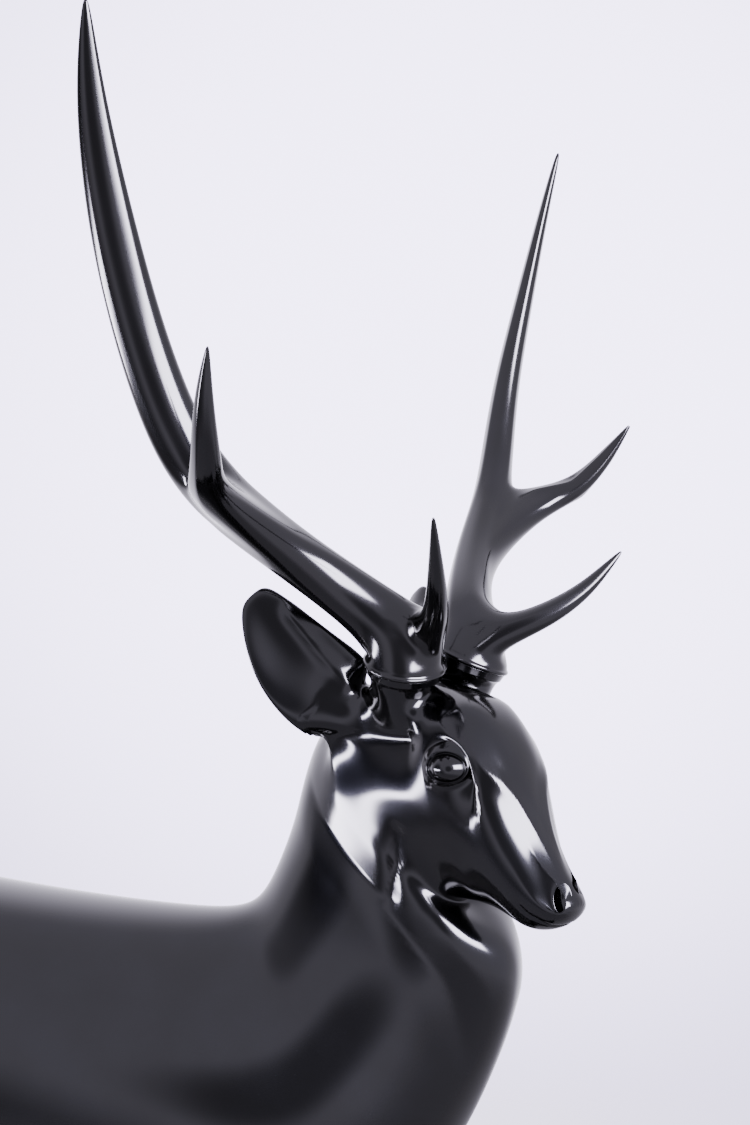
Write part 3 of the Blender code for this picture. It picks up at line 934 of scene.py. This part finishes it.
# Each bronze: its darkest and its lightest colour, its gloss, haze and relief
BODY_BRONZE = bronze(
    "mirror_bronze", (0.003, 0.0032, 0.0045), (0.007, 0.0075, 0.010), 0.16, 0.10, 0.12)
ANTLER_BRONZE = bronze(
    "antler_mirror_bronze", (0.003, 0.003, 0.004), (0.007, 0.007, 0.009), 0.16, 0.08, 0.08)
BASE_BRONZE = bronze(
    "plinth_bronze", (0.008, 0.008, 0.010), (0.018, 0.018, 0.022), 0.30, 0.15, 0.2)
print("Bronzes:", [material.name for material in (BODY_BRONZE, ANTLER_BRONZE, BASE_BRONZE)])

# %% [markdown]
# ## The figure
#
# Everything of the stag that is one casting goes into one cage: the trunk first, then on each
# side two legs, an ear, a seat, an eye and a nostril, and last the tail.

# %% Stag
SKIN_LEVELS = 3


def stag_cage():
    cage = bmesh.new()
    cage.edges.layers.float.new("crease_edge")
    rings = trunk_cage(cage)
    for side in (1, -1):
        grow_leg(cage, rings, FORELEG_ROOT, FORELEG, side)
        grow_leg(cage, rings, HINDLEG_ROOT, HINDLEG, side)
        grow_ear(cage, rings, side)
        grow_seat(cage, rings, side)
        set_in(cage, rings, EYE_ROOT, side, EYE, EYE_CENTRE, EYE_OUTWARD, EYE_BALL, EYE_BEND)
        set_in(cage, rings, NOSTRIL_ROOT, side, NOSTRIL, NOSTRIL_CENTRE, NOSTRIL_OUTWARD,
               NOSTRIL_FLOOR, NOSTRIL_BEND)
    grow(cage, patch_round(rings, TAIL_ROOT), TAIL)
    bmesh.ops.recalc_face_normals(cage, faces=cage.faces)
    to_metres(cage)
    return cage


stag_skin = skin_of(stag_cage(), "stag", SKIN_LEVELS)
soften(stag_skin)
draw_on(stag_skin, [*drawn_lines(1), *drawn_lines(-1)])
as_piece(stag_skin, "stag", BODY_BRONZE, "stag_body")

# %% [markdown]
# ## Antlers
#
# A beam is broader than it is thick, and it curves back, out and up from its burr. Each tine
# grows from a patch on the beam's side, so that its root flows into the beam as it would in wax.

# %% Antlers
# The beam's rings: its middle, half its breadth, half its thickness; y is outward
BEAM = [
    (-0.7, 6.2, 3.0, 3.7, 3.4),
    (-2.9, 8.0, 5.9, 3.1, 2.7),
    (-7.4, 14.0, 11.2, 2.8, 2.35),
    (-10.4, 19.6, 15.9, 3.0, 2.35),
    (-12.2, 23.1, 19.6, 3.1, 2.3),
    (-13.8, 25.9, 24.6, 3.0, 2.1),
    (-15.2, 29.1, 34.0, 2.75, 1.75),
    (-15.2, 32.6, 45.0, 2.5, 1.3),
    (-14.4, 35.8, 57.5, 1.6, 0.75),
    (-12.7, 37.3, 66.6, 0.4, 0.35),
]
BEAM_THIN_WAY = (0.70, 0.71, 0.0)

# A tine: the beam's ring and the step round it that it leaves from, its root's height, its tip's
# own height on the right side and on the left, and its rings. A ring is its middle, half its
# height, half its width; y is outward.
Tine = namedtuple("Tine", "ring step root_rise tip_rise rows")
TINES = [
    Tine(0, 1, 0.0, {-1: 15.1, 1: 12.0}, [
        (4.0, 5.3, 3.0, 1.9, 1.7),
        (8.2, 8.7, 5.4, 1.45, 1.2),
        (10.9, 11.7, 8.3, 1.05, 0.85),
        (12.5, 13.6, 11.1, 0.65, 0.5),
        (13.8, 15.2, 13.6, 0.2, 0.2),
    ]),
    Tine(3, 2, 19.2, {-1: 31.0, 1: 28.1}, [
        (-7.6, 26.4, 18.4, 2.3, 1.8),
        (-3.4, 29.4, 20.3, 1.75, 1.3),
        (-0.7, 31.9, 25.0, 1.2, 0.85),
        (1.9, 33.3, 29.6, 0.2, 0.2),
    ]),
]

# The burr's rings, from the seat up: distance along the seat's axis, and radius
BURR = [
    (0.0, 4.42),
    (0.14, 4.62),
    (0.42, 4.62),
    (0.56, 4.40),
    (0.80, 4.30),
    (1.30, 4.15),
]

# The beam has soft lengthwise ridges on these sides, and so do the tines on theirs. The right
# beam is nearly round, so that it mirrors broad bands.
BEAM_RIDGES = [(1, 1), (-1, 1), (1, -1), (-1, -1)]
BEAM_SHARPNESS = {-1: 0.04, 1: 0.45}
TINE_RIDGES = [(0, 1), (0, -1)]
TINE_SHARPNESS = 0.5

# Where a tine's root is relaxed: middle, radius, passes; y is outward
ROOT_SPOTS = [
    ((0.8, 5.9, 4.0), 2.9, 12),
    ((-9.8, 21.5, 17.2), 3.6, 12),
]
ROOT_STRENGTH = 0.5
ROUND_A_RING = [(1, 0), (1, 1), (0, 1), (-1, 1), (-1, 0), (-1, -1), (0, -1), (1, -1)]


def ring_on(side, centre, tangent, half_breadth, half_thickness):
    thin = mirror_point(BEAM_THIN_WAY, side)
    thin = (thin - thin.project(tangent)).normalized()
    broad = thin.cross(tangent).normalized() * side
    return Ring(centre, thin * half_thickness, broad * half_breadth)


def tangents(points):
    ends = [points[0]] + points + [points[-1]]
    return [(ends[i + 2] - ends[i]).normalized() for i in range(len(points))]


def place_turned(patch, ring):
    place_patch(patch, ring)
    for vert in patch.values():
        vert.co = head_point(vert.co)


def grow_tine(cage, rings, tine, side):
    """A tine that grows from a two-by-two patch on the side of the beam."""
    patch = {}
    for along in (-1, 0, 1):
        for round_it in (-1, 0, 1):
            key = ROUND_A_RING[(tine.step + round_it) % len(ROUND_A_RING)]
            patch[along, round_it] = rings[len(BURR) + tine.ring + along][key]
    stretch = (tine.tip_rise[side] - tine.root_rise) / (tine.rows[-1][2] - tine.root_rise)
    centres = [patch[0, 0].co.copy()]
    for x, y, z, _, _ in tine.rows:
        rise = tine.root_rise + (z - tine.root_rise) * stretch
        centres.append(head_point((x, y * side, rise)))
    ways = tangents(centres)[1:]
    for centre, way, (_, _, _, half_height, half_width) in zip(centres[1:], ways, tine.rows):
        along_way = patch[1, 0].co - patch[-1, 0].co
        along_way = (along_way - along_way.project(way)).normalized()
        across = way.cross(along_way)
        if across.dot(patch[0, 1].co - patch[0, -1].co) < 0:
            across.negate()
        below = patch
        patch = extruded(cage, patch)
        place_patch(patch, Ring(centre, across * half_width, along_way * half_height))
        for key in TINE_RIDGES:
            sharpen(cage, below[key], patch[key], TINE_SHARPNESS)


def antler_cage(side):
    """One antler: a burr with two rings, a beam broader than it is thick, and two tines."""
    cage = bmesh.new()
    cage.edges.layers.float.new("crease_edge")
    centre, axis, _, _ = seat_frame(side)
    centre = centre + axis * SEAT_GAP / UNIT
    floor = bmesh.ops.create_grid(cage, x_segments=2, y_segments=2, size=1)["verts"]
    patch = {(round(vert.co.x), round(vert.co.y)): vert for vert in floor}
    rings = []
    for distance, radius in BURR:
        if rings:
            patch = extruded(cage, patch, keep_floor=len(rings) == 1)
        place_turned(patch, ring_on(side, centre + axis * distance, axis, radius, radius))
        rings.append(patch)
    crease(cage, rings[0].values())
    middles = [mirror_point(row, side) for row in BEAM]
    ways = tangents([centre] + middles)[1:]
    for middle, way, (_, _, _, half_breadth, half_thickness) in zip(middles, ways, BEAM):
        patch = extruded(cage, patch)
        place_turned(patch, ring_on(side, middle, way, half_breadth, half_thickness))
        rings.append(patch)
    for lower, upper in zip(rings[len(BURR):], rings[len(BURR) + 1:]):
        for key in BEAM_RIDGES:
            sharpen(cage, lower[key], upper[key], BEAM_SHARPNESS[side])
    for tine in TINES:
        grow_tine(cage, rings, tine, side)
    bmesh.ops.recalc_face_normals(cage, faces=cage.faces)
    to_metres(cage)
    return cage


def soften_roots(mesh, side):
    """Relaxes the beam where a tine leaves it."""
    skin = bmesh.new()
    skin.from_mesh(mesh)
    for middle, radius, passes in ROOT_SPOTS:
        spot = off_table(head_point(mirror_point(middle, side)))
        verts = [vert for vert in skin.verts if (vert.co - spot).length < radius * UNIT]
        for _ in range(passes):
            relax(skin, verts, ROOT_STRENGTH)
    skin.to_mesh(mesh)
    skin.free()


for side, name in ((-1, "right_antler"), (1, "left_antler")):
    antler_skin = skin_of(antler_cage(side), name + "_cast", SKIN_LEVELS)
    soften_roots(antler_skin, side)
    as_piece(antler_skin, name + "_cast", ANTLER_BRONZE, name)

# %% [markdown]
# ## Base
#
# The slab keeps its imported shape: it only needs its own bronze.

# %% Base
base_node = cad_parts["base"]
base_node.data.materials.clear()
base_node.data.materials.append(BASE_BRONZE)
print("Base wears", BASE_BRONZE.name)

# %% [markdown]
# ## Studio
#
# The sculpture stands in a white studio. The backdrop behind it is bright and the side that the
# camera stands on is dim. A long low softbox lies to the picture's left, and a broad one stands
# behind the camera, on its right. A mirror finish shows all of this, so the studio is drawn in the
# world by direction. Each direction is given as the photographer would give it: an azimuth from
# the backdrop's middle, counted to the picture's left, and an elevation.

# %% Directions in the studio
BACKDROP_AZIMUTH = math.radians(90) + CAMERA_AZIMUTH


def towards(azimuth, elevation):
    """A direction from its azimuth off the backdrop's middle and its elevation, in degrees."""
    turn = BACKDROP_AZIMUTH + math.radians(azimuth)
    rise = math.radians(elevation)
    return Vector((math.cos(turn) * math.cos(rise), math.sin(turn) * math.cos(rise), math.sin(rise)))


print("The backdrop's middle lies towards", [round(value, 3) for value in towards(0, 0)])


# %% Softbox group
# What keeps directions beside and behind a softbox from counting as inside it
LEAST_DEPTH = 0.001
LEAST_AHEAD = 0.01


def softbox_group():
    """A node group: 1 inside a soft-edged rectangle on the sky, 0 outside it."""
    vectors = dict.fromkeys(("Direction", "Facing", "Right", "Up"), "Vector")
    sizes = dict.fromkeys(("Half Width", "Half Height", "Edge"), "Float")
    group, inside, outside = new_group("Softbox", {**vectors, **sizes}, {"Inside": "Float"})
    given = inside.outputs

    def towards_box(name):
        return vector_node(group, "DOT_PRODUCT", given["Direction"], given[name])

    facing = towards_box("Facing")
    depth = math_node(group, "MAXIMUM", facing, LEAST_DEPTH)
    beyond = math_node(group, "MULTIPLY", given["Edge"], -1.0)

    def span(name, half):
        across = math_node(group, "DIVIDE", towards_box(name), depth)
        spare = math_node(group, "SUBTRACT", given[half], math_node(group, "ABSOLUTE", across))
        return range_node(group, spare, beyond, given["Edge"])

    both = math_node(group, "MULTIPLY", span("Right", "Half Width"), span("Up", "Half Height"))
    ahead = math_node(group, "GREATER_THAN", facing, LEAST_AHEAD)
    feed(group, outside, {"Inside": math_node(group, "MULTIPLY", both, ahead)})
    return group


SOFTBOX = softbox_group()
print("Softbox group has", len(SOFTBOX.nodes), "nodes")

# %% World
# The backdrop is a cool white that falls off towards its edges and its foot. Its spread is the
# two angles from its middle that it starts and stops falling off at.
BACKDROP_COLOUR = (1.10, 1.0, 1.45)
BACKDROP_CENTRE = (-3, 8)
BACKDROP_SPREAD = (5, 32)
BACKDROP_BRIGHT = 4.6
BACKDROP_FALLEN = 2.1

# What the bronze mirrors: the room's own level, and the backdrop's above that
MIRRORED_COLOUR = (1.0, 0.95, 1.14)
ROOM_LEVEL = 1.2
ROOM_DARKEST = 0.04
BACKDROP_LEVEL = 1.6

# The backdrop's glow and three shades: azimuth, elevation, full within, gone beyond, level
ROOM_PATCHES = [
    (0, 10, 20, 70, BACKDROP_LEVEL),
    (166, 3, 9, 24, -0.85),
    (100, -28, 20, 48, -0.95),
    (98, 8, 12, 26, -0.6),
]

# A softbox: azimuth, elevation, half width and half height as angles, edge, level
SOFTBOXES = [
    (95.5, -9.0, 20, 3.0, 0.03, 66.0),
    (-145, 17, 19, 14, 0.06, 65.0),
]


def studio_world():
    """A world that the camera sees as a plain backdrop and the bronze mirrors as a studio."""
    world = bpy.data.worlds.new("White studio")
    world.use_nodes = True
    tree = world.node_tree
    tree.nodes.clear()
    direction = tree.nodes.new("ShaderNodeTexCoord").outputs["Generated"]

    def spread_from(azimuth, elevation, full, gone, bottom=0.0, top=1.0):
        """top within one angle of a direction, and bottom beyond another."""
        nearness = vector_node(tree, "DOT_PRODUCT", direction, towards(azimuth, elevation))
        low, high = math.cos(math.radians(gone)), math.cos(math.radians(full))
        return range_node(tree, nearness, low, high, bottom=bottom, top=top)

    def background(colour, strength):
        node = tree.nodes.new("ShaderNodeBackground")
        return feed(tree, node, {"Color": (*colour, 1), "Strength": strength}).outputs["Background"]

    glow = ROOM_LEVEL
    for *patch, level in ROOM_PATCHES:
        glow = math_node(tree, "MULTIPLY_ADD", spread_from(*patch), level, glow)
    glow = math_node(tree, "MAXIMUM", glow, ROOM_DARKEST)
    for azimuth, elevation, half_width, half_height, edge, level in SOFTBOXES:
        facing = towards(azimuth, elevation)
        right = facing.cross(Vector((0, 0, 1))).normalized()
        box = tree.nodes.new("ShaderNodeGroup")
        box.node_tree = SOFTBOX
        feed(tree, box, {
            "Direction": direction,
            "Facing": facing,
            "Right": right,
            "Up": right.cross(facing),
            "Half Width": math.tan(math.radians(half_width)),
            "Half Height": math.tan(math.radians(half_height)),
            "Edge": edge,
        })
        glow = math_node(tree, "MULTIPLY_ADD", box.outputs["Inside"], level, glow)

    paper = spread_from(*BACKDROP_CENTRE, *BACKDROP_SPREAD, BACKDROP_FALLEN, BACKDROP_BRIGHT)
    mix = tree.nodes.new("ShaderNodeMixShader")
    feed(tree, mix, {
        "Fac": tree.nodes.new("ShaderNodeLightPath").outputs["Is Camera Ray"],
        1: background(MIRRORED_COLOUR, glow),
        2: background(BACKDROP_COLOUR, paper),
    })
    feed(tree, tree.nodes.new("ShaderNodeOutputWorld"), {"Surface": mix.outputs["Shader"]})
    return world


SCENE.world = studio_world()
print("World:", len(ROOM_PATCHES), "broad patches and", len(SOFTBOXES), "softboxes")

# %% [markdown]
# ## Floor
#
# A pale floor catches a soft shadow round the base and fades into the backdrop. In the mirror of
# the bronze the floor wears a darker grey, a painted shade for the camera side of the room.

# %% Floor
FLOOR_RADIUS = 2.4
FLOOR_SOLID_RADIUS = 1.3
FLOOR_SIDES = 96
FLOOR_ROUGHNESS = 0.9
FLOOR_GREY = 0.80
# The grey that the bronze mirrors is painted shade: a darker copy of the floor's own grey
FLOOR_PAINTED_SHADE_GREY = 0.14


def pale_floor():
    """A round floor that is solid round the base and fades out at its rim."""
    disc = bmesh.new()
    bmesh.ops.create_circle(disc, cap_ends=True, segments=FLOOR_SIDES, radius=FLOOR_RADIUS)
    mesh = bpy.data.meshes.new("floor")
    disc.to_mesh(mesh)
    disc.free()
    floor = bpy.data.objects.new("floor", mesh)
    SCENE.collection.objects.link(floor)
    material = bpy.data.materials.new("pale_floor")
    material.use_nodes = True
    tree = material.node_tree
    seen = tree.nodes.new("ShaderNodeLightPath").outputs["Is Camera Ray"]
    reach = vector_node(tree, "LENGTH", tree.nodes.new("ShaderNodeTexCoord").outputs["Object"])
    feed(tree, tree.nodes["Principled BSDF"], {
        # Camera rays see the floor's own grey, and every other ray sees its painted shade
        "Base Color": range_node(tree, seen, 0.0, 1.0, "LINEAR", FLOOR_PAINTED_SHADE_GREY, FLOOR_GREY),
        "Roughness": FLOOR_ROUGHNESS,
        "Alpha": range_node(tree, reach, FLOOR_RADIUS, FLOOR_SOLID_RADIUS),
    })
    mesh.materials.append(material)


pale_floor()
print("Floor fades out at", FLOOR_RADIUS, "m")
